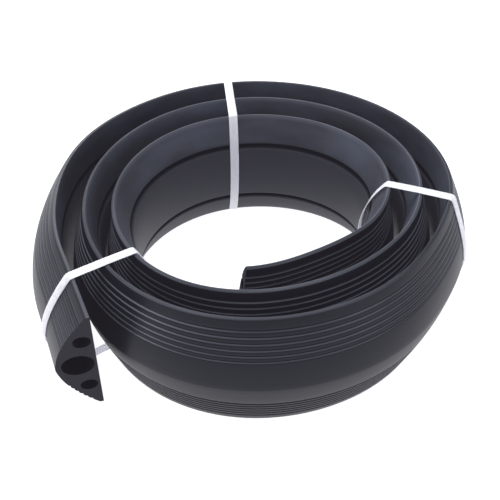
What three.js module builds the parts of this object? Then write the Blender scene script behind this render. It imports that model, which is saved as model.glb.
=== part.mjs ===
// Rubber floor cable raceway: one extruded strip with a flat base, a ribbed dome and three cable
// channels, wound on its edge into a coil of about three turns and tied with three flat bands.
// Millimetres, +Z up. The origin is on the floor, under the middle of the coil's outer box.

import * as THREE from 'three';
import { mergeVertices } from 'three/addons/utils/BufferGeometryUtils.js';

// The strip, as it is extruded
const stripWidth = 135;
const crownHeight = 36;
const noseHeight = 4;
const domePower = 1.75;
const crownFacet = 15;

// Ribs: round-topped ridges between narrow notches, the same on both flanks of the dome
const notchCount = 6;
const firstNotch = 8.7;
const notchPitch = 5.5;
const notchWidth = 1.8;
const notchDepth = 1.4;

// Cable channels, each with a thin floor over the flat base
const mainBore = 29;
const sideBore = 16;
const sideBoreOffset = 34;
const channelFloor = 2;

// Creases that the bend presses into the base under the two side channels
const creaseWidth = 6;
const creaseDepth = 3.2;
const creaseAngle = 180;

// The coil, seen from above: the strip runs clockwise from its outer cut end, base to the inside, and
// its straight tail springs outwards a little. Angles are in degrees, counted from +X for a place in the
// plan, and along the strip from the end of the tail where they are wound.
const startRadius = 194.1;
const turnPitch = 29.5;
const tailAngle = 205.8;
const tailLength = 85;
const tailTurn = 1.5;
const woundAngle = 1024.5;
const outerCutTilt = 9;
const outerCutSkew = 9.6;
const innerCutTilt = 6.5;

// How far the turns are from round: an oval and a drift that grow with each turn, a small three-sided
// wave, two lumps on the outer turn, and half a wave at the inner end
const ovalReach = 1.2;
const ovalGrowth = 2.2;
const ovalAngle = 22;
const trilobeReach = 1.8;
const trilobeAngle = 7.4;
const driftReach = 2.8;
const driftAngle = 122;
const outerLumps = [{ at: 50, spread: 20.5, reach: 4 }, { at: 229.6, spread: 20.7, reach: - 5.2 }];
const endWave = 2;
const endWaveAngle = 54.7;
const endWaveStart = 73.6;

// What the bend does to the section: it is thinned, and its base bows so that the middle of the base
// stands inside its two edges, quickly on the first part of a turn and then a little more on each turn
const thinning = 0.115;
const thinningAngle = 60;
const firstBow = 4.1;
const firstBowAngle = 130;
const bowGrowth = 19.7;

// Fineness of the faceted solids
const turnStep = 15;
const headingStep = 0.5;
const tailSteps = 3;
const mainBoreSides = 8;
const sideBoreSides = 6;

// Tie bands: each goes once around all the turns, in a plane that faces an angle, lies to one side of the
// coil's axis at the height of the lips, and leans a little along the strip
const bandWidth = 9;
const bandThickness = 0.8;
const bandClearance = 0.3;
const bands = {
	band_left: { angle: 212.5, aside: 8, lean: 11 },
	band_back: { angle: 95.3, aside: 14.6, lean: - 1.8 },
	band_right: { angle: 333.5, aside: 58, lean: 2 },
};

const rubber = new THREE.MeshStandardMaterial( { color: 0x24262a, roughness: 0.5, metalness: 0 } );
const bandPlastic = new THREE.MeshStandardMaterial( { color: 0xf2f2f6, roughness: 0.45, metalness: 0 } );

const halfWidth = stripWidth / 2;
const restHeight = bandThickness + bandClearance;
const lipHeight = restHeight + stripWidth;
const radians = THREE.MathUtils.degToRad;
const { clamp, smoothstep } = THREE.MathUtils;

// Height of the dome over the flat base, at a distance across the strip from its middle
function domeHeight( across ) {

	const share = Math.abs( across ) / halfWidth;
	return noseHeight + ( crownHeight - noseHeight ) * ( 1 - share ** domePower );

}

// Points across the dome, from the bottom edge to the top one: three for each notch, three at the crown
function domePoints() {

	const flank = [];
	for ( let i = 0; i < notchCount; i ++ ) {

		const across = firstNotch + i * notchPitch - halfWidth;
		flank.push( [ across - notchWidth / 2, 0 ], [ across, notchDepth ], [ across + notchWidth / 2, 0 ] );

	}

	const crown = [[ - crownFacet, 0 ], [ 0, 0 ], [ crownFacet, 0 ]];
	const mirrored = flank.map( ( [ across, depth ] ) => [ - across, depth ] ).reverse();
	return [ ...flank, ...crown, ...mirrored ]
		.map( ( [ across, depth ] ) => new THREE.Vector2( domeHeight( across ) - depth, across ) );

}

// The strip's section: x is the height over the base, y runs across the strip
function stripSection() {

	const crease = ( middle ) => [ 1, 0, - 1 ]
		.map( ( side ) => new THREE.Vector2( 0, middle + side * creaseWidth / 2 ) );
	const section = new THREE.Shape( [
		new THREE.Vector2( 0, - halfWidth ),
		new THREE.Vector2( noseHeight, - halfWidth ),
		...domePoints(),
		new THREE.Vector2( noseHeight, halfWidth ),
		new THREE.Vector2( 0, halfWidth ),
		...crease( sideBoreOffset ),
		...crease( - sideBoreOffset ),
	] );
	const channel = ( bore, across, sides ) => {

		const hole = [];
		for ( let i = 0; i < sides; i ++ ) {

			const turn = Math.PI + 2 * Math.PI * i / sides;
			hole.push( new THREE.Vector2(
				channelFloor + bore / 2 + bore / 2 * Math.cos( turn ), across + bore / 2 * Math.sin( turn ) ) );

		}

		return new THREE.Path( hole );

	};

	section.holes.push( channel( mainBore, 0, mainBoreSides ) );
	section.holes.push( channel( sideBore, sideBoreOffset, sideBoreSides ) );
	section.holes.push( channel( sideBore, - sideBoreOffset, sideBoreSides ) );
	return section;

}

// Distance of the base's edges from the coil's axis, after an angle wound from the start of the coil
function coilRadius( wound ) {

	const turns = wound / 360;
	const place = tailAngle - wound;
	const oval = ( ovalReach + ovalGrowth * turns ) * Math.cos( 2 * radians( place - ovalAngle ) );
	const trilobe = trilobeReach * Math.cos( 3 * radians( place - trilobeAngle ) );
	const drift = driftReach * turns * Math.cos( radians( place - driftAngle ) );
	const lump = outerLumps.reduce( ( sum, { at, spread, reach } ) => {

		const away = ( wound - at ) / spread;
		return sum + reach * Math.exp( - away * away );

	}, 0 );
	const wavePhase = Math.PI * ( wound - woundAngle + endWaveStart ) / endWaveAngle;
	const wave = wavePhase > 0 ? endWave * Math.sin( wavePhase ) : 0;
	return startRadius - turnPitch * turns + oval + trilobe + drift + lump - wave;

}

// A place on the line of the base's edges, seen from above
function coilPoint( wound ) {

	const angle = radians( tailAngle - wound );
	return new THREE.Vector2( Math.cos( angle ), Math.sin( angle ) ).multiplyScalar( coilRadius( wound ) );

}

// Direction of travel along the strip, inwards from the outer cut end
function coilHeading( wound ) {

	return coilPoint( wound + headingStep ).sub( coilPoint( wound - headingStep ) ).normalize();

}

// The stations at which the section is placed. The strip is straight along its outer tail, and bends
// at the same angles on every turn after that, so that facets of neighbouring turns stay parallel.
function stripStations() {

	const stations = [];
	const start = coilPoint( 0 );
	const startHeading = coilHeading( 0 ).rotateAround( new THREE.Vector2(), - radians( tailTurn ) );
	for ( let i = 0; i < tailSteps; i ++ ) {

		const share = 1 - i / tailSteps;
		stations.push( {
			place: start.clone().addScaledVector( startHeading, - tailLength * share ),
			heading: startHeading,
			thinned: thinning * ( 1 - share ) / 2,
			crease: 0,
			bow: 0,
			cutTilt: i === 0 ? outerCutTilt : 0,
			cutSkew: i === 0 ? outerCutSkew : 0,
		} );

	}

	const angles = [ 0 ];
	for ( let wound = tailAngle % turnStep; wound < woundAngle - turnStep / 2; wound += turnStep ) {

		if ( wound > turnStep / 2 ) angles.push( wound );

	}

	angles.push( woundAngle );
	for ( const wound of angles ) {

		stations.push( {
			place: coilPoint( wound ),
			heading: coilHeading( wound ),
			thinned: thinning * clamp( 0.5 + wound / thinningAngle / 2, 0, 1 ),
			crease: creaseDepth * clamp( wound / creaseAngle, 0, 1 ),
			bow: firstBow * smoothstep( wound, 0, firstBowAngle ) + bowGrowth * wound / woundAngle,
			cutTilt: wound === woundAngle ? innerCutTilt : 0,
			cutSkew: 0,
		} );

	}

	return stations;

}

// Moves a point of the flat section to where the bend takes it: the base creases under the side
// channels, and the whole section bows about an upright circle so that its edges lean outwards.
function bentSection( height, across, station ) {

	const fromCrease = Math.abs( Math.abs( across ) - sideBoreOffset ) / ( creaseWidth / 2 );
	const reach = Math.max( 0, 1 - height / ( channelFloor + sideBore ) );
	const lifted = height * ( 1 - station.thinned ) + station.crease * Math.max( 0, 1 - fromCrease ) * reach;
	const curvature = 8 * station.bow / stripWidth ** 2;
	if ( curvature === 0 ) return { out: lifted, up: across };
	const bowRadius = 1 / curvature;
	const lean = across * curvature;
	return {
		out: bowRadius * Math.cos( halfWidth * curvature ) - ( bowRadius - lifted ) * Math.cos( lean ),
		up: ( bowRadius - lifted ) * Math.sin( lean ),
	};

}

// A point of the section, placed in the coil at a station
function placedPoint( height, across, station ) {

	const { out, up } = bentSection( height, across, station );
	const outward = new THREE.Vector2( - station.heading.y, station.heading.x );
	const along = ( halfWidth - across ) * Math.tan( radians( station.cutTilt ) )
		+ height * Math.tan( radians( station.cutSkew ) );
	const plan = station.place.clone().addScaledVector( outward, out ).addScaledVector( station.heading, along );
	return new THREE.Vector3( plan.x, plan.y, restHeight + halfWidth + up );

}

// The strip is extruded straight, one unit for each step, and each ring of points goes to its station
function windStrip( section, stations ) {

	const geometry = new THREE.ExtrudeGeometry( section, {
		depth: stations.length - 1, steps: stations.length - 1, bevelEnabled: false, curveSegments: 1 } );
	geometry.deleteAttribute( 'normal' );
	geometry.deleteAttribute( 'uv' );
	const wound = mergeVertices( geometry );
	const position = wound.getAttribute( 'position' );
	for ( let i = 0; i < position.count; i ++ ) {

		const station = stations[ Math.round( position.getZ( i ) ) ];
		const { x, y, z } = placedPoint( position.getX( i ), position.getY( i ), station );
		position.setXYZ( i, x, y, z );

	}

	wound.computeVertexNormals();
	return wound;

}

// Where the strip's long edges cross a band's plane, shifted along the strip: how far outwards and how high
function crossings( section, stations, { angle, aside, lean }, shift ) {

	const outward = new THREE.Vector2( Math.cos( radians( angle ) ), Math.sin( radians( angle ) ) );
	const sideways = new THREE.Vector2( - outward.y, outward.x );
	const beside = ( point ) => sideways.dot( point ) - aside - shift
		- ( point.z - lipHeight ) * Math.tan( radians( lean ) );
	const found = [];
	for ( const corner of section.getPoints( 1 ) ) {

		const line = stations.map( ( station ) => placedPoint( corner.x, corner.y, station ) );
		for ( let i = 1; i < line.length; i ++ ) {

			const [ from, to ] = [ line[ i - 1 ], line[ i ] ];
			const before = beside( from );
			const after = beside( to );
			if ( before * after > 0 || before === after ) continue;
			const point = from.clone().lerp( to, before / ( before - after ) );
			if ( outward.dot( point ) > 0 ) found.push( new THREE.Vector2( outward.dot( point ), point.z ) );

		}

	}

	return found;

}

// Convex outline around points, counterclockwise. A corner that turns by hardly anything is left out.
function outlineAround( points ) {

	const leastTurn = 0.05;
	const sorted = [ ...points ].sort( ( a, b ) => a.x - b.x || a.y - b.y );
	const chain = ( list ) => {

		const kept = [];
		for ( const point of list ) {

			while ( kept.length > 1 ) {

				const last = kept[ kept.length - 1 ];
				const first = kept[ kept.length - 2 ];
				const turn = last.clone().sub( first ).cross( point.clone().sub( last ) );
				if ( turn > leastTurn ) break;
				kept.pop();

			}

			kept.push( point );

		}

		return kept.slice( 0, - 1 );

	};

	return [ ...chain( sorted ), ...chain( sorted.reverse() ) ];

}

// A convex outline moved outwards by a distance on every side
function grownOutline( outline, distance ) {

	return outline.map( ( corner, i ) => {

		const before = outline[ ( i + outline.length - 1 ) % outline.length ];
		const after = outline[ ( i + 1 ) % outline.length ];
		const into = corner.clone().sub( before ).normalize();
		const away = after.clone().sub( corner ).normalize();
		const normal = new THREE.Vector2( into.y + away.y, - into.x - away.x ).normalize();
		const spread = normal.dot( new THREE.Vector2( into.y, - into.x ) );
		return corner.clone().addScaledVector( normal, distance / spread );

	} );

}

// One tie band: a flat ribbon pulled straight from corner to corner around the bundle of turns
function tieBand( section, stations, place ) {

	const touched = [ - bandWidth / 2, 0, bandWidth / 2 ]
		.flatMap( ( shift ) => crossings( section, stations, place, shift ) );
	const bundle = outlineAround( touched );
	const band = new THREE.Shape( grownOutline( bundle, bandClearance + bandThickness ) );
	band.holes.push( new THREE.Path( grownOutline( bundle, bandClearance ).reverse() ) );
	const geometry = new THREE.ExtrudeGeometry( band, { depth: bandWidth, bevelEnabled: false } );
	geometry.translate( 0, - lipHeight, - bandWidth / 2 );
	geometry.rotateX( Math.PI / 2 );
	geometry.applyMatrix4( new THREE.Matrix4().makeShear( 0, 0, 0, 0, 0, Math.tan( radians( place.lean ) ) ) );
	geometry.translate( 0, place.aside, lipHeight );
	geometry.rotateZ( radians( place.angle ) );
	return geometry;

}

const section = stripSection();
const stations = stripStations();

const raceway = new THREE.Mesh( windStrip( section, stations ), rubber );
raceway.name = 'raceway';

const coil = new THREE.Group();
coil.add( raceway );
for ( const [ name, place ] of Object.entries( bands ) ) {

	const band = new THREE.Mesh( tieBand( section, stations, place ), bandPlastic );
	band.name = name;
	coil.add( band );

}

// The coil is shifted so that the middle of its outer box is over the origin
const box = new THREE.Box3().setFromObject( coil );
const middle = box.getCenter( new THREE.Vector3() );
coil.position.set( - middle.x, - middle.y, - box.min.z );

export default coil;
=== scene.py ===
# A coil of rubber floor cable raceway: one domed strip with three cable channels, wound on its edge into
# about three turns and tied with three white bands. Metres, +Z up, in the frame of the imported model.

import math

import bpy
import numpy as np
from mathutils import Matrix, Vector
from mathutils.geometry import convex_hull_2d, tessellate_polygon


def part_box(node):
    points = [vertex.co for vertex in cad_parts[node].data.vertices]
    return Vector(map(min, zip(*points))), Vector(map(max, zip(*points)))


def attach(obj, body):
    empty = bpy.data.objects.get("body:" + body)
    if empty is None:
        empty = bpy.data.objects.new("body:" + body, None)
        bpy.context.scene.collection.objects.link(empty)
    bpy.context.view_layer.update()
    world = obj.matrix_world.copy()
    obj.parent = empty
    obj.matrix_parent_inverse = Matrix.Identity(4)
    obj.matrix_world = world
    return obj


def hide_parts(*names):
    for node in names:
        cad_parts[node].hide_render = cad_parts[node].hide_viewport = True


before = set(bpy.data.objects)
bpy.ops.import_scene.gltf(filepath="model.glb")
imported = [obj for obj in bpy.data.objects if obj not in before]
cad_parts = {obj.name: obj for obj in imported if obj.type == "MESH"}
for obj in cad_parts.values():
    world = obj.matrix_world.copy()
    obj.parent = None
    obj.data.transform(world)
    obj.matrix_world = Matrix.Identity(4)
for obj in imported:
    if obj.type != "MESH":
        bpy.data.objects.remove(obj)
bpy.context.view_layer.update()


# The strip as it leaves the extruder: black EPDM rubber with a flat base, a domed top whose flanks carry
# six narrow notches each, and three round channels, a thick one under the crown and a thin one beside it
# on either hand. One piece, extruded and cut to three metres.

STRIP_WIDTH = 0.135
HALF_WIDTH = STRIP_WIDTH / 2
CROWN_HEIGHT = 0.036
NOSE_HEIGHT = 0.004
NOSE_ROUNDING = 0.0012
DOME_POWER = 1.75
NOTCH_COUNT = 6
FIRST_NOTCH = 0.0087
NOTCH_PITCH = 0.0055
NOTCH_WIDTH = 0.0018
NOTCH_DEPTH = 0.0014
RIDGE_ROUNDING = 0.0004
# The notches' lips and the long edges carry painted highlights: where on the lip they lie, and their
# strength on the lower flank and on the edges.
LIP_FROM = 0.6
LIP_TO = 1.4
LOWER_FLANK_HIGHLIGHT = 0.1
EDGE_HIGHLIGHT = 0.45
CROWN_EDGE = -0.002
CROWN_EDGE_HEIGHT = 0.0005
CROWN_EDGE_REACH = 0.011
CROWN_EDGE_ROUNDING = 0.0004
MAIN_BORE = 0.029
MAIN_BORE_SIDES = 24
SIDE_BORE = 0.016
SIDE_BORE_SIDES = 14
SIDE_BORE_OFFSET = 0.034
CHANNEL_FLOOR = 0.002
CREASE_WIDTH = 0.008
CREASE_DEPTH = 0.0032
BASE_CORNER = 0.0004
CLEAR_OF_NOTCH = 0.001
CLEAR_OF_CREASE = 0.006

NOTCH_LINES = HALF_WIDTH - FIRST_NOTCH - NOTCH_PITCH * np.arange(NOTCH_COUNT)


def dome_height(across):
    """Height over the base: the nose height, above it a rounded hump that follows a power of the distance
    from the strip's middle, and near the crown a low tent whose edge runs along the strip."""
    share = np.abs(across) / HALF_WIDTH
    tent = np.clip(1 - np.abs(across - CROWN_EDGE) / CROWN_EDGE_REACH, 0, 1)
    dome = NOSE_HEIGHT + (CROWN_HEIGHT - NOSE_HEIGHT) * (1 - share**DOME_POWER)
    return dome - CROWN_EDGE_HEIGHT * (1 - tent)


def notch_relief(across):
    """Depth cut into the dome: at each notch line a narrow V whose two lips are rounded, as a bell curve
    of the distance from the line, added to a little rounding of the ridges between the notches."""
    away = np.abs(np.abs(across)[:, None] - NOTCH_LINES[None, :]).min(axis=1)
    notch = np.exp(-((away / (NOTCH_WIDTH / 2)) ** 2))
    ridge = np.clip(1 - away / (NOTCH_PITCH / 2), 0, 1)
    return (NOTCH_DEPTH - RIDGE_ROUNDING) * notch + RIDGE_ROUNDING * ridge**2


def dome_line():
    """Points over the dome from its lower edge to its upper one, close together in and beside each notch."""
    beside = NOTCH_WIDTH / 2 * np.array([-2.5, -1.7, -1.2, -0.8, -0.4, 0, 0.4, 0.8, 1.2, 1.7, 2.5])
    flank = (NOTCH_LINES[:, None] + beside[None, :]).ravel()
    crown_end = flank.min() - NOTCH_PITCH / 4
    rim = np.linspace(flank.max() + CLEAR_OF_NOTCH, HALF_WIDTH - NOSE_ROUNDING, 6)
    crown = np.linspace(-crown_end, crown_end, 19)
    edge = CROWN_EDGE + CROWN_EDGE_ROUNDING * np.array([-1, 0, 1])
    across = np.sort(np.concatenate([-rim, -flank, crown, edge, flank, rim]))
    return np.stack([dome_height(across) - notch_relief(across), across], axis=1)


def lip_highlight_paint(height, across):
    """How strong the painted highlight is: on each notch's lip on the crown's side, fully on the upper
    flank, which faces the light, less below, and a little on the strip's two long edges."""
    inside = (NOTCH_LINES[None, :] - np.abs(across)[:, None]) / (NOTCH_WIDTH / 2)
    on_lip = np.any((inside > LIP_FROM) & (inside < LIP_TO), axis=1) & (height > NOSE_HEIGHT)
    on_edge = np.abs(across) > HALF_WIDTH - NOSE_ROUNDING / 2
    return np.where(on_lip, np.where(across > 0, 1.0, LOWER_FLANK_HIGHLIGHT), np.where(on_edge, EDGE_HIGHLIGHT, 0.0))


def nose_corner(side):
    """The rounded upper corner of an edge: a quarter circle from the edge's face round to the dome."""
    turn = np.radians(np.array([0.0, 22.5, 45.0, 67.5]))
    height = NOSE_HEIGHT - NOSE_ROUNDING * (1 - np.sin(turn))
    across = side * (HALF_WIDTH - NOSE_ROUNDING * (1 - np.cos(turn)))
    return np.stack([height, across], axis=1)[::-side]


def base_line():
    """Points across the base from its upper edge down to its lower one, close together at the creases."""
    near = CREASE_WIDTH / 2 * np.array([-1.3, -1, -0.75, -0.5, -0.25, 0, 0.25, 0.5, 0.75, 1, 1.3])
    middle_end = SIDE_BORE_OFFSET - CLEAR_OF_CREASE
    middle = np.linspace(-middle_end, middle_end, 13)
    wing = np.linspace(SIDE_BORE_OFFSET + CLEAR_OF_CREASE, HALF_WIDTH - BASE_CORNER, 7)
    across = np.concatenate([middle, wing, -wing, SIDE_BORE_OFFSET + near, -SIDE_BORE_OFFSET + near])
    across = np.sort(across)[::-1]
    bottom = np.stack([np.zeros_like(across), across], axis=1)
    corner = np.array([[BASE_CORNER, HALF_WIDTH]])
    return np.concatenate([corner, bottom, corner * [1, -1]])


def channel(bore, across, sides):
    """A round channel of the bore's diameter whose floor is the channel floor above the base."""
    turn = np.linspace(0, 2 * np.pi, sides, endpoint=False)
    height = CHANNEL_FLOOR + bore / 2 * (1 + np.cos(turn))
    return np.stack([height, across + bore / 2 * np.sin(turn)], axis=1)


SECTION = [
    np.concatenate([nose_corner(-1), dome_line(), nose_corner(1), base_line()]),
    channel(MAIN_BORE, 0, MAIN_BORE_SIDES),
    channel(SIDE_BORE, SIDE_BORE_OFFSET, SIDE_BORE_SIDES),
    channel(SIDE_BORE, -SIDE_BORE_OFFSET, SIDE_BORE_SIDES),
]

# The coil: the strip stands on its edge, base to the inside, and runs clockwise from its outer cut end.
# Its outer tail is straight. The turns aren't quite round, and the bend flattens the strip and bows it,
# more on each turn, so that the middle of the base stands inside its two edges.

START_RADIUS = 0.1941
TURN_PITCH = 0.0295
OVAL_REACH = 0.0012
OVAL_GROWTH = 0.0022
OVAL_ANGLE = 22
TRILOBE_REACH = 0.0018
TRILOBE_ANGLE = 7.4
DRIFT = 0.0028
DRIFT_ANGLE = 122
OUTER_LUMPS = [(50, 20.5, 0.0040), (229.6, 20.7, -0.0052)]
END_WAVE = 0.0020
END_WAVE_ANGLE = 54.7
END_WAVE_START = 73.6
TAIL_ANGLE = 205.8
WOUND_ANGLE = 1024.5
TAIL_LENGTH = 0.085
TAIL_TURN = 1.5
THINNING = 0.115
FIRST_BOW = 0.0041
FIRST_BOW_ANGLE = 130
BOW_GROWTH = 0.0197
THINNING_ANGLE = 60
OUTER_CUT_TILT = 9
OUTER_CUT_SKEW = 9.6
INNER_CUT_TILT = 6.5
CUT_BLEND = 0.06
CREASING_ANGLE = 180
LEAST_CURVATURE = 1e-4
REST_HEIGHT = 0.0011
TAIL_STATIONS = 20
TURN_STATIONS = 330


def coil_radius(wound):
    """Distance of the base's edges from the coil's axis: a spiral of even pitch, on which an oval and a
    drift that grow with the turns, a small three-sided wave, two lumps on the outer turn and half a
    wave at the inner end are laid."""
    turns = wound / 360
    at = TAIL_ANGLE - wound
    radius = START_RADIUS - TURN_PITCH * turns
    radius = radius + (OVAL_REACH + OVAL_GROWTH * turns) * np.cos(2 * np.radians(at - OVAL_ANGLE))
    radius = radius + TRILOBE_REACH * np.cos(3 * np.radians(at - TRILOBE_ANGLE))
    radius = radius + DRIFT * turns * np.cos(np.radians(at - DRIFT_ANGLE))
    for middle, half_width, reach in OUTER_LUMPS:
        radius = radius + reach * np.exp(-(((wound - middle) / half_width) ** 2))
    wave_phase = np.pi * (wound - WOUND_ANGLE + END_WAVE_START) / END_WAVE_ANGLE
    return radius - np.where(wave_phase > 0, END_WAVE * np.sin(wave_phase), 0)


def coil_point(wound):
    """The place of the base's edges in the plan: the radius at the angle that is left after winding."""
    at = np.radians(TAIL_ANGLE - wound)
    return coil_radius(wound)[..., None] * np.stack([np.cos(at), np.sin(at)], axis=-1)


def stations():
    """Even steps along the strip, as degrees wound, with the metres that lie before the first turn."""
    tail = np.linspace(TAIL_LENGTH, 0, TAIL_STATIONS)[:-1]
    turns = np.linspace(0, WOUND_ANGLE, TURN_STATIONS)
    wound = np.concatenate([np.zeros_like(tail), turns])
    before = np.concatenate([tail, np.zeros_like(turns)])
    return wound, before


def strip_frames(wound, before):
    """For each station its place in the plan, its direction of travel and the metres from the cut end."""
    step = 0.25
    heading = coil_point(wound + step) - coil_point(wound - step)
    heading = heading / np.linalg.norm(heading, axis=1, keepdims=True)
    turn = -math.radians(TAIL_TURN)
    sprung = heading[0] @ np.array([[math.cos(turn), math.sin(turn)], [-math.sin(turn), math.cos(turn)]])
    heading = np.where(before[:, None] > 0, sprung, heading)
    place = coil_point(wound) - heading * before[:, None]
    run = np.concatenate([[0], np.cumsum(np.linalg.norm(np.diff(place, axis=0), axis=1))])
    return place, heading, run


def placed(section, wound, before):
    """Every section point at every station. The section is thinned and creased as the bend takes hold,
    bowed round an upright circle whose curvature is eight bows over the width squared, and slanted along
    the strip near the two cut ends."""
    place, heading, run = strip_frames(wound, before)
    height, across = section[None, :, 0], section[None, :, 1]
    bend = np.clip(wound / CREASING_ANGLE, 0, 1)[:, None]
    from_crease = np.abs(np.abs(across) - SIDE_BORE_OFFSET) / (CREASE_WIDTH / 2)
    crease = 0.5 + 0.5 * np.cos(np.pi * np.clip(from_crease, 0, 1))
    reach = np.clip(1 - height / (CHANNEL_FLOOR + SIDE_BORE), 0, 1)
    thinning = np.clip((THINNING_ANGLE + wound - before / TAIL_LENGTH * THINNING_ANGLE)
                       / (2 * THINNING_ANGLE), 0, 1)[:, None]
    lifted = height * (1 - THINNING * thinning) + bend * CREASE_DEPTH * crease * reach
    ease = np.clip(wound / FIRST_BOW_ANGLE, 0, 1)
    bow = FIRST_BOW * ease**2 * (3 - 2 * ease) + BOW_GROWTH * wound / WOUND_ANGLE
    curvature = np.maximum(8 * bow / STRIP_WIDTH**2, LEAST_CURVATURE)[:, None]
    lean = across * curvature
    out = (1 / curvature) * np.cos(HALF_WIDTH * curvature) - (1 / curvature - lifted) * np.cos(lean)
    up = (1 / curvature - lifted) * np.sin(lean)
    at_outer = np.clip(1 - run / CUT_BLEND, 0, 1)[:, None]
    at_inner = np.clip(1 - (run[-1] - run) / CUT_BLEND, 0, 1)[:, None]
    below = HALF_WIDTH - across
    along = below * (math.tan(math.radians(OUTER_CUT_TILT)) * at_outer
                     + math.tan(math.radians(INNER_CUT_TILT)) * at_inner)
    along = along + height * math.tan(math.radians(OUTER_CUT_SKEW)) * at_outer
    outward = np.stack([-heading[:, 1], heading[:, 0]], axis=1)
    plan = place[:, None, :] + outward[:, None, :] * out[..., None] + heading[:, None, :] * along[..., None]
    points = np.concatenate([plan, (REST_HEIGHT + HALF_WIDTH + up)[..., None]], axis=2)
    flat = np.stack(np.broadcast_arrays(run[:, None], across, height), axis=2)
    return points, flat


def tube_faces(stations_count, ring_count, first):
    """Quads between neighbouring rings of a closed profile, numbered ring by ring from a first vertex."""
    ring = np.arange(ring_count)
    start = first + ring_count * np.arange(stations_count - 1)[:, None]
    here, there = start + ring, start + (ring + 1) % ring_count
    return np.stack([here, there, there + ring_count, here + ring_count], axis=2).reshape(-1, 4)


def cap_faces(loops, firsts):
    """Triangles that close a cut end: the flat section, holes and all, cut into triangles."""
    outline = [[Vector((x, y, 0)) for x, y in loop] for loop in loops]
    numbers = np.concatenate([first + np.arange(len(loop)) for first, loop in zip(firsts, loops)])
    return [[int(numbers[i]) for i in triangle] for triangle in tessellate_polygon(outline)]


def add_piece(name, points, faces):
    """A mesh object from arrays of points and faces, with its faces turned outwards."""
    mesh = bpy.data.meshes.new(name)
    mesh.from_pydata(points.tolist(), [], faces)
    mesh.validate()
    mesh.update()
    piece = bpy.data.objects.new(name, mesh)
    bpy.context.scene.collection.objects.link(piece)
    bpy.context.view_layer.objects.active = piece
    bpy.ops.object.mode_set(mode="EDIT")
    bpy.ops.mesh.select_all(action="SELECT")
    bpy.ops.mesh.normals_make_consistent(inside=False)
    bpy.ops.object.mode_set(mode="OBJECT")
    return piece


def shade_smooth(piece, sharp_angle):
    """Smooth shading, broken where two faces meet at more than the sharp angle, in degrees."""
    polygons = piece.data.polygons
    polygons.foreach_set("use_smooth", np.ones(len(polygons), bool))
    piece.data.set_sharp_from_angle(angle=math.radians(sharp_angle))


wound, before = stations()
count = len(wound)
rings = [placed(loop, wound, before) for loop in SECTION]
sizes = [len(loop) for loop in SECTION]
starts = np.concatenate([[0], np.cumsum([count * size for size in sizes])])[:-1]
strip_points = np.concatenate([points.reshape(-1, 3) for points, _ in rings])
strip_flat = np.concatenate([flat.reshape(-1, 3) for _, flat in rings])
strip_length = float(strip_flat[:, 0].max())
strip_faces = []
for size, start in zip(sizes, starts):
    strip_faces += tube_faces(count, size, start).tolist()
strip_faces += cap_faces(SECTION, starts)
strip_faces += cap_faces(SECTION, [start + (count - 1) * size for start, size in zip(starts, sizes)])

# The coil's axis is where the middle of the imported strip's box puts it.
low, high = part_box("raceway")
coil_middle = (strip_points.max(axis=0) + strip_points.min(axis=0)) / 2
AXIS = np.array([(low.x + high.x) / 2 - coil_middle[0], (low.y + high.y) / 2 - coil_middle[1], 0])
raceway = add_piece("raceway_strip", strip_points + AXIS, strip_faces)
shade_smooth(raceway, sharp_angle=34)
flat_coords = raceway.data.attributes.new("strip_coords", "FLOAT_VECTOR", "POINT")
flat_coords.data.foreach_set("vector", strip_flat.astype(np.float32).ravel())
# Each point keeps the strength of its painted highlight.
highlight_values = raceway.data.attributes.new("lip_highlight_paint", "FLOAT", "POINT")
highlight_values.data.foreach_set("value", lip_highlight_paint(strip_flat[:, 2], strip_flat[:, 1]).astype(np.float32))


def linear(hex_colour):
    """A colour's sRGB hex value as linear red, green, blue and full alpha."""
    parts = [int(hex_colour[i:i + 2], 16) / 255 for i in (1, 3, 5)]
    return tuple(p / 12.92 if p <= 0.04045 else ((p + 0.055) / 1.055) ** 2.4 for p in parts) + (1.0,)


def node(tree, kind, settings=None, **inputs):
    """Adds a shader node, gives it settings, and sets or links its inputs by their names, or by their
    numbers where a name is i and a number."""
    made = tree.nodes.new(kind)
    for name, value in (settings or {}).items():
        setattr(made, name, value)
    for name, value in inputs.items():
        numbered = name[0] == "i" and name[1:].isdigit()
        socket = made.inputs[int(name[1:]) if numbered else name.replace("_", " ")]
        if isinstance(value, bpy.types.NodeSocket):
            tree.links.new(value, socket)
        else:
            socket.default_value = value
    return made


def new_material(name):
    """An empty node material and its tree."""
    material = bpy.data.materials.new(name)
    material.use_nodes = True
    material.node_tree.nodes.clear()
    return material, material.node_tree


# EPDM rubber, extruded and cured in hot air: a dense black with a satin skin and faint drag lines along
# the strip. The flat base is duller, its colour lifted to a grey as painted fill light for the shaded gaps
# between the turns, with a cloudy painted sheen near its upper edge and creases kept black as painted shade.
# Pale painted highlights lie on the notches' lips and the long edges, and the knife has bared the two cut
# ends. A faint glow painted into the skin lifts all its shadows.

SKIN_REACH = 0.0003
# The creases' dark band is painted shade: its half width and its softness.
CREASE_SHADE = 0.0028
CREASE_SHADE_SOFTNESS = 0.0012
CUT_REACH = 0.00002
DRAG_SCALE = (6, 900, 900)
GRAIN_SCALE = 1800.0
GRAIN_SHARE = 0.25
CLOUD_SCALE = (9, 34, 34)
# Painted sheen on the base's upper wing, standing in for a lamp's soft reflection: its patches and where it
# shows.
PATCH_SCALE = (7, 16, 16)
SHEEN_PATCHES = (0.38, 0.68)
SHEEN_EDGE = (0.034, 0.042)
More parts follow.
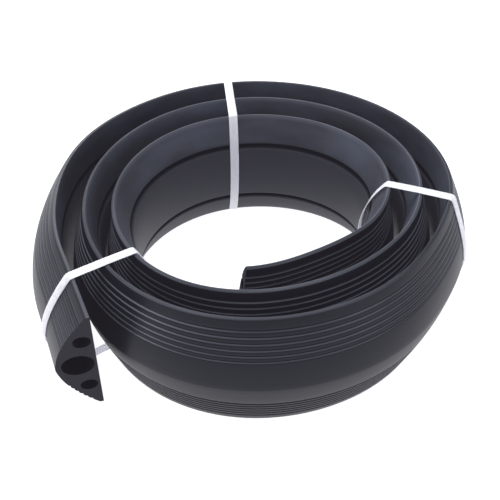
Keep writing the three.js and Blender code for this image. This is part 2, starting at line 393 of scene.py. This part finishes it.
# Painted highlights: thinned by the clouds, weaker on the outer turn, and glossier with a brighter sheen.
HIGHLIGHT_CLOUDS = (0.3, 0.6)
FAINTEST_HIGHLIGHT = 0.5
INNER_RUN = (1.0, 1.2)
OUTER_TURN_HIGHLIGHT = 0.4
SATIN_ROUGHNESS = (0.34, 0.44)
HIGHLIGHT_POLISH = 0.14
DULL_ROUGHNESS = 0.75
BASE_ROUGHNESS = 0.5
SKIN_SHINE = 0.18
DULL_SHINE = 0.036
HIGHLIGHT_SHINE = 0.35
DEEP_BLACK = "#121317"
CLOUDED_BLACK = "#1a1b20"
# Grey of the base: painted fill light for the shaded gaps between the turns.
FILL_LIGHT_GREY = "#37373d"
# Grey of the painted sheen.
SHEEN_GREY = "#4a505b"
# Grey of the painted highlights.
HIGHLIGHT_GREY = "#6e7179"
CUT_GREY = "#303034"


def ramp(tree, value, low, high, first=0.0, last=1.0, kind="LINEAR"):
    """Goes from a first to a last number while the value goes from low to high."""
    return node(tree, "ShaderNodeMapRange", {"interpolation_type": kind}, Value=value, From_Min=low,
                From_Max=high, To_Min=first, To_Max=last).outputs["Result"]


def within(tree, distance, reach, softness):
    """One where a distance is under a reach, falling to nothing over the softness around it."""
    return ramp(tree, distance, reach - softness, reach + softness, 1.0, 0.0, "SMOOTHSTEP")


def maths(tree, operation, first, second=0.0):
    """One arithmetic step on two values."""
    return node(tree, "ShaderNodeMath", {"operation": operation}, i0=first, i1=second).outputs["Value"]


def mixed(tree, share, first, second):
    """The first colour, giving way to the second as the share goes from nothing to one."""
    return node(tree, "ShaderNodeMix", {"data_type": "RGBA"}, i0=share, i6=first, i7=second).outputs[2]


def stretched_noise(tree, coords, scale, detail):
    """Noise with a scale of its own along the strip, across it and in its height."""
    stretched = node(tree, "ShaderNodeMapping", Vector=coords, Scale=scale).outputs["Vector"]
    return node(tree, "ShaderNodeTexNoise", Vector=stretched, Scale=1.0, Detail=detail).outputs["Fac"]


def extruded_rubber(length):
    """The strip's material. The metres run, the distance across and the height that every point carries
    tell the base, its creases and the cut ends apart, and clouds thin out the painted highlights that it
    carries."""
    material, tree = new_material("EPDM rubber, extruded")
    coords = node(tree, "ShaderNodeAttribute", {"attribute_name": "strip_coords"}).outputs["Vector"]
    run, across, height = node(tree, "ShaderNodeSeparateXYZ", Vector=coords).outputs
    clouds = stretched_noise(tree, coords, CLOUD_SCALE, detail=4.0)

    base = within(tree, height, SKIN_REACH, SKIN_REACH / 3)
    from_middle = maths(tree, "ABSOLUTE", across)
    from_crease = maths(tree, "ABSOLUTE", maths(tree, "SUBTRACT", from_middle, SIDE_BORE_OFFSET))
    # Painted shade in the creases: here the base keeps the black.
    crease = maths(tree, "MULTIPLY", within(tree, from_crease, CREASE_SHADE, CREASE_SHADE_SOFTNESS), base)
    from_end = maths(tree, "MINIMUM", run, maths(tree, "SUBTRACT", length, run))
    cut = within(tree, from_end, CUT_REACH, CUT_REACH / 2)
    dull = maths(tree, "MAXIMUM", crease, cut)

    # A cloudy painted sheen, a lamp's soft reflection, in patches near the base's upper edge.
    patches = stretched_noise(tree, coords, PATCH_SCALE, detail=5.0)
    patch = ramp(tree, patches, *SHEEN_PATCHES, kind="SMOOTHSTEP")
    upper = ramp(tree, across, *SHEEN_EDGE, kind="SMOOTHSTEP")
    painted_sheen = maths(tree, "MULTIPLY", maths(tree, "MULTIPLY", patch, upper), base)

    # Pale painted highlights on the notches' lips and the long edges, thinned by clouds and weaker on the
    # outer turn.
    lip_highlights = node(tree, "ShaderNodeAttribute", {"attribute_name": "lip_highlight_paint"}).outputs["Fac"]
    clouded_highlight = maths(tree, "MULTIPLY", lip_highlights, ramp(tree, clouds, *HIGHLIGHT_CLOUDS, FAINTEST_HIGHLIGHT, 1.0))
    inside_coil = ramp(tree, run, *INNER_RUN, OUTER_TURN_HIGHLIGHT, 1.0, "SMOOTHSTEP")
    uncut = maths(tree, "SUBTRACT", 1.0, cut)
    painted_highlight = maths(tree, "MULTIPLY", clouded_highlight, maths(tree, "MULTIPLY", inside_coil, uncut))

    black = mixed(tree, clouds, linear(DEEP_BLACK), linear(CLOUDED_BLACK))
    # The base is lifted to grey as painted fill light; the creases keep the black as painted shade.
    fill_lit = mixed(tree, maths(tree, "SUBTRACT", base, crease), black, linear(FILL_LIGHT_GREY))
    sheened = mixed(tree, painted_sheen, fill_lit, linear(SHEEN_GREY))
    highlighted = mixed(tree, painted_highlight, sheened, linear(HIGHLIGHT_GREY))
    colour = mixed(tree, cut, highlighted, linear(CUT_GREY))

    satin = ramp(tree, clouds, 0.0, 1.0, *SATIN_ROUGHNESS)
    polished = maths(tree, "SUBTRACT", satin, maths(tree, "MULTIPLY", painted_highlight, HIGHLIGHT_POLISH))
    dull_rough = maths(tree, "MULTIPLY", dull, DULL_ROUGHNESS)
    base_rough = maths(tree, "MULTIPLY", base, BASE_ROUGHNESS)
    rough = maths(tree, "MAXIMUM", polished, maths(tree, "MAXIMUM", dull_rough, base_rough))
    plain_shine = ramp(tree, dull, 0.0, 1.0, SKIN_SHINE, DULL_SHINE)
    shine = maths(tree, "ADD", plain_shine, maths(tree, "MULTIPLY", painted_highlight, HIGHLIGHT_SHINE))

    drag_lines = stretched_noise(tree, coords, DRAG_SCALE, detail=3.0)
    grain = node(tree, "ShaderNodeTexNoise", Vector=coords, Scale=GRAIN_SCALE, Detail=2.0).outputs["Fac"]
    fine = maths(tree, "ADD", maths(tree, "MULTIPLY", grain, GRAIN_SHARE), drag_lines)
    bump = node(tree, "ShaderNodeBump", Strength=0.25, Distance=0.0004, Height=fine)
    # The faint emission is a painted glow that lifts the rubber's shadows in place of fill light.
    skin = node(tree, "ShaderNodeBsdfPrincipled", Base_Color=colour, Roughness=rough,
                Specular_IOR_Level=shine, Specular_Tint=linear("#e8ebff"), Normal=bump.outputs["Normal"],
                Emission_Color=linear("#1d1b20"), Emission_Strength=0.9)
    node(tree, "ShaderNodeOutputMaterial", Surface=skin.outputs["BSDF"])
    return material


raceway.data.materials.append(extruded_rubber(strip_length))
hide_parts("raceway")
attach(raceway, "root")


# The tie bands: flat white polyethylene ribbon, pulled tight in a closed ring round all the turns. Each
# faces an angle, passes aside of the coil's axis at the height of the strip's upper edges, leans a little
# along the strip, and runs straight from edge to edge.

BAND_WIDTH = 0.009
BAND_THICKNESS = 0.0008
BAND_CLEARANCE = 0.0003
BAND_CORNER = 0.0015
BAND_STEPS = 260
BAND_SIDES = 12
PATH_STEPS = 4000
UPPER_EDGE = REST_HEIGHT + STRIP_WIDTH
BAND_PLACES = {
    "band_left": {"angle": 212.5, "aside": 0.0080, "lean": 11},
    "band_back": {"angle": 95.3, "aside": 0.0146, "lean": -1.8},
    "band_right": {"angle": 333.5, "aside": 0.0580, "lean": 2},
}


def band_axes(angle):
    """The plan's directions outwards from the coil's axis at the angle, and sideways from there."""
    outward = np.array([math.cos(math.radians(angle)), math.sin(math.radians(angle))])
    return outward, np.array([-outward[1], outward[0]])


def leaned(height, lean):
    """How far a leaning plane has gone sideways at a height, from nothing at the strip's upper edges."""
    return (height - UPPER_EDGE) * math.tan(math.radians(lean))


def bundle_outline(angle, aside, lean):
    """The tight outline round all the turns in the band's plane: where the strip's long lines cross the
    plane, on the plane's own side of the axis, and the convex hull of these."""
    outward, sideways = band_axes(angle)
    lines = rings[0][0]
    crossings = []
    for side in (-BAND_WIDTH / 2, 0, BAND_WIDTH / 2):
        distance = lines[..., :2] @ sideways - aside - leaned(lines[..., 2], lean) - side
        first, second = distance[:-1], distance[1:]
        crossed = (first * second <= 0) & (first != second)
        share = first[crossed] / (first - second)[crossed]
        points = lines[:-1][crossed] + share[:, None] * (lines[1:] - lines[:-1])[crossed]
        across = np.stack([points[:, :2] @ outward, points[:, 2]], axis=1)
        crossings.append(across[across[:, 0] > 0])
    crossings = np.concatenate(crossings)
    return crossings[convex_hull_2d([tuple(point) for point in crossings])]


def ribbon_path(outline, grow):
    """The outline in even steps, smoothed over the corner length, and moved outwards by a distance."""
    closed = np.concatenate([outline, outline[:1]])
    run = np.concatenate([[0], np.cumsum(np.linalg.norm(np.diff(closed, axis=0), axis=1))])
    at = np.linspace(0, run[-1], PATH_STEPS, endpoint=False)
    line = np.stack([np.interp(at, run, closed[:, 0]), np.interp(at, run, closed[:, 1])], axis=1)
    window = max(1, int(BAND_CORNER / (run[-1] / PATH_STEPS)))
    smooth = sum(np.roll(line, k, axis=0) for k in range(-window, window + 1)) / (2 * window + 1)
    tangent = np.roll(smooth, -1, axis=0) - np.roll(smooth, 1, axis=0)
    tangent = tangent / np.linalg.norm(tangent, axis=1, keepdims=True)
    area = np.sum(smooth[:, 0] * np.roll(smooth[:, 1], -1) - np.roll(smooth[:, 0], -1) * smooth[:, 1])
    normal = np.stack([tangent[:, 1], -tangent[:, 0]], axis=1) * np.sign(area)
    pick = np.arange(BAND_STEPS) * PATH_STEPS // BAND_STEPS
    return (smooth + normal * grow)[pick], normal[pick]


def tie_band(name, angle, aside, lean):
    """The ribbon: a thin rectangle with rounded edges, carried along the tight path."""
    half_thick = BAND_THICKNESS / 2
    path, normal = ribbon_path(bundle_outline(angle, aside, lean), BAND_CLEARANCE + half_thick)
    turn = np.radians((np.arange(BAND_SIDES) + 0.5) * 360 / BAND_SIDES)
    side = (BAND_WIDTH / 2 - half_thick) * np.sign(np.cos(turn)) + half_thick * np.cos(turn)
    thick = half_thick * np.sin(turn)
    outward, sideways = band_axes(angle)
    flat = path[:, None, :] + normal[:, None, :] * thick[None, :, None]
    along_strip = aside + side + leaned(flat[..., 1], lean)
    plan = flat[..., :1] * outward + along_strip[..., None] * sideways
    points = np.concatenate([plan, flat[..., 1:]], axis=2)
    start = BAND_SIDES * np.arange(BAND_STEPS)[:, None]
    following = np.roll(start, -1, axis=0)
    here = np.arange(BAND_SIDES)
    beside = np.roll(here, -1)
    faces = np.stack([start + here, start + beside, following + beside, following + here], axis=2)
    band = add_piece(name + "_ribbon", points.reshape(-1, 3) + AXIS, faces.reshape(-1, 4).tolist())
    shade_smooth(band, sharp_angle=40)
    return band


# Polyethylene ribbon, blown and slit: milky white, softly glossy and finely grained, and so thin that
# light spreads inside it.

RIBBON_MILK = "#eeeef4"
RIBBON_WHITE = "#f8f8fb"
RIBBON_ROUGHNESS = (0.38, 0.5)


def ribbon_plastic():
    """The bands' material: a haze shifts its white and its gloss a little, and a grain its surface."""
    material, tree = new_material("white polyethylene ribbon")
    coords = node(tree, "ShaderNodeTexCoord").outputs["Object"]
    haze = node(tree, "ShaderNodeTexNoise", Vector=coords, Scale=60.0, Detail=3.0).outputs["Fac"]
    white = mixed(tree, haze, linear(RIBBON_MILK), linear(RIBBON_WHITE))
    rough = ramp(tree, haze, 0.0, 1.0, *RIBBON_ROUGHNESS)
    grain = node(tree, "ShaderNodeTexNoise", Vector=coords, Scale=900.0, Detail=2.0).outputs["Fac"]
    bump = node(tree, "ShaderNodeBump", Strength=0.15, Distance=0.0002, Height=grain)
    # The faint bluish emission is a painted glow that lifts the ribbon's shade.
    skin = node(tree, "ShaderNodeBsdfPrincipled", Base_Color=white, Roughness=rough,
                Normal=bump.outputs["Normal"], Subsurface_Weight=1.0, Subsurface_Radius=(1.0, 1.0, 1.0),
                Subsurface_Scale=0.003, Emission_Color=linear("#dadaff"), Emission_Strength=0.12)
    node(tree, "ShaderNodeOutputMaterial", Surface=skin.outputs["BSDF"])
    return material


white_ribbon = ribbon_plastic()
for band_name, band_place in BAND_PLACES.items():
    band = tie_band(band_name, **band_place)
    band.data.materials.append(white_ribbon)
    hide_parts(band_name)
    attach(band, "root")


# The studio: a white floor that glows evenly to the edges of the view, soft lights overhead, behind and
# low on the left and on the right, and the camera where the photograph was taken, turned to match it.

FLOOR_SIZE = 40
half = FLOOR_SIZE / 2
floor_mesh = bpy.data.meshes.new("floor")
floor_mesh.from_pydata([(-half, -half, 0), (half, -half, 0), (half, half, 0), (-half, half, 0)], [],
                       [(0, 1, 2, 3)])
floor = bpy.data.objects.new("floor", floor_mesh)
bpy.context.scene.collection.objects.link(floor)
paper, paper_tree = new_material("white paper")
paper_skin = node(paper_tree, "ShaderNodeBsdfPrincipled", Base_Color=linear("#8e8e94"), Roughness=0.9,
                  Emission_Color=linear("#fdfdff"), Emission_Strength=1.0)
node(paper_tree, "ShaderNodeOutputMaterial", Surface=paper_skin.outputs["BSDF"])
floor_mesh.materials.append(paper)


def soft_light(name, place, aim, size, power):
    """A square area light at a place, turned towards the point that it is aimed at."""
    lamp = bpy.data.lights.new(name, "AREA")
    lamp.size = size
    lamp.energy = power
    lamp_object = bpy.data.objects.new(name, lamp)
    lamp_object.location = place
    lamp_object.rotation_euler = (Vector(aim) - Vector(place)).to_track_quat("-Z", "Y").to_euler()
    bpy.context.scene.collection.objects.link(lamp_object)


soft_light("overhead", place=(0, 0.5, 2.2), aim=(0, 0, 0), size=2.0, power=50)
soft_light("behind", place=(-0.9, 2.1, 1.7), aim=(0, 0, 0.1), size=1.3, power=34)
soft_light("left", place=(-2.2, -0.9, 0.9), aim=(0, 0, 0.1), size=1.4, power=16)
soft_light("right", place=(1.9, -1.6, 0.75), aim=(0, 0, 0.1), size=0.9, power=10)

world = bpy.data.worlds.new("studio")
bpy.context.scene.world = world
world.use_nodes = True
background = world.node_tree.nodes["Background"].inputs
background["Color"].default_value = linear("#dfe4f6")
background["Strength"].default_value = 0.32
bpy.context.scene.view_settings.view_transform = "Standard"

FOCAL_PIXELS = 883.4
FRAME_PIXELS = 500
SENSOR_WIDTH = 36
ELEVATION = math.radians(42.92)
CAMERA_ROLL = math.radians(-1.44)
CAMERA_DISTANCE = 0.8821
AIM_RIGHT = 0.0117
AIM_UP = 0.0099
level_right = Vector((1, 0, 0))
level_up = Vector((0, math.sin(ELEVATION), math.cos(ELEVATION)))
forward = Vector((0, math.cos(ELEVATION), -math.sin(ELEVATION)))
right = math.cos(CAMERA_ROLL) * level_right + math.sin(CAMERA_ROLL) * level_up
up = -math.sin(CAMERA_ROLL) * level_right + math.cos(CAMERA_ROLL) * level_up
target = Vector((AXIS[0], AXIS[1], HALF_WIDTH))
lens_place = target - right * AIM_RIGHT - up * AIM_UP - forward * CAMERA_DISTANCE
camera = bpy.data.cameras.new("camera")
camera.sensor_width = SENSOR_WIDTH
camera.lens = FOCAL_PIXELS / FRAME_PIXELS * SENSOR_WIDTH
camera_object = bpy.data.objects.new("camera", camera)
bpy.context.scene.collection.objects.link(camera_object)
camera_object.matrix_world = Matrix((
    (right.x, up.x, -forward.x, lens_place.x),
    (right.y, up.y, -forward.y, lens_place.y),
    (right.z, up.z, -forward.z, lens_place.z),
    (0, 0, 0, 1)))
bpy.context.scene.camera = camera_object
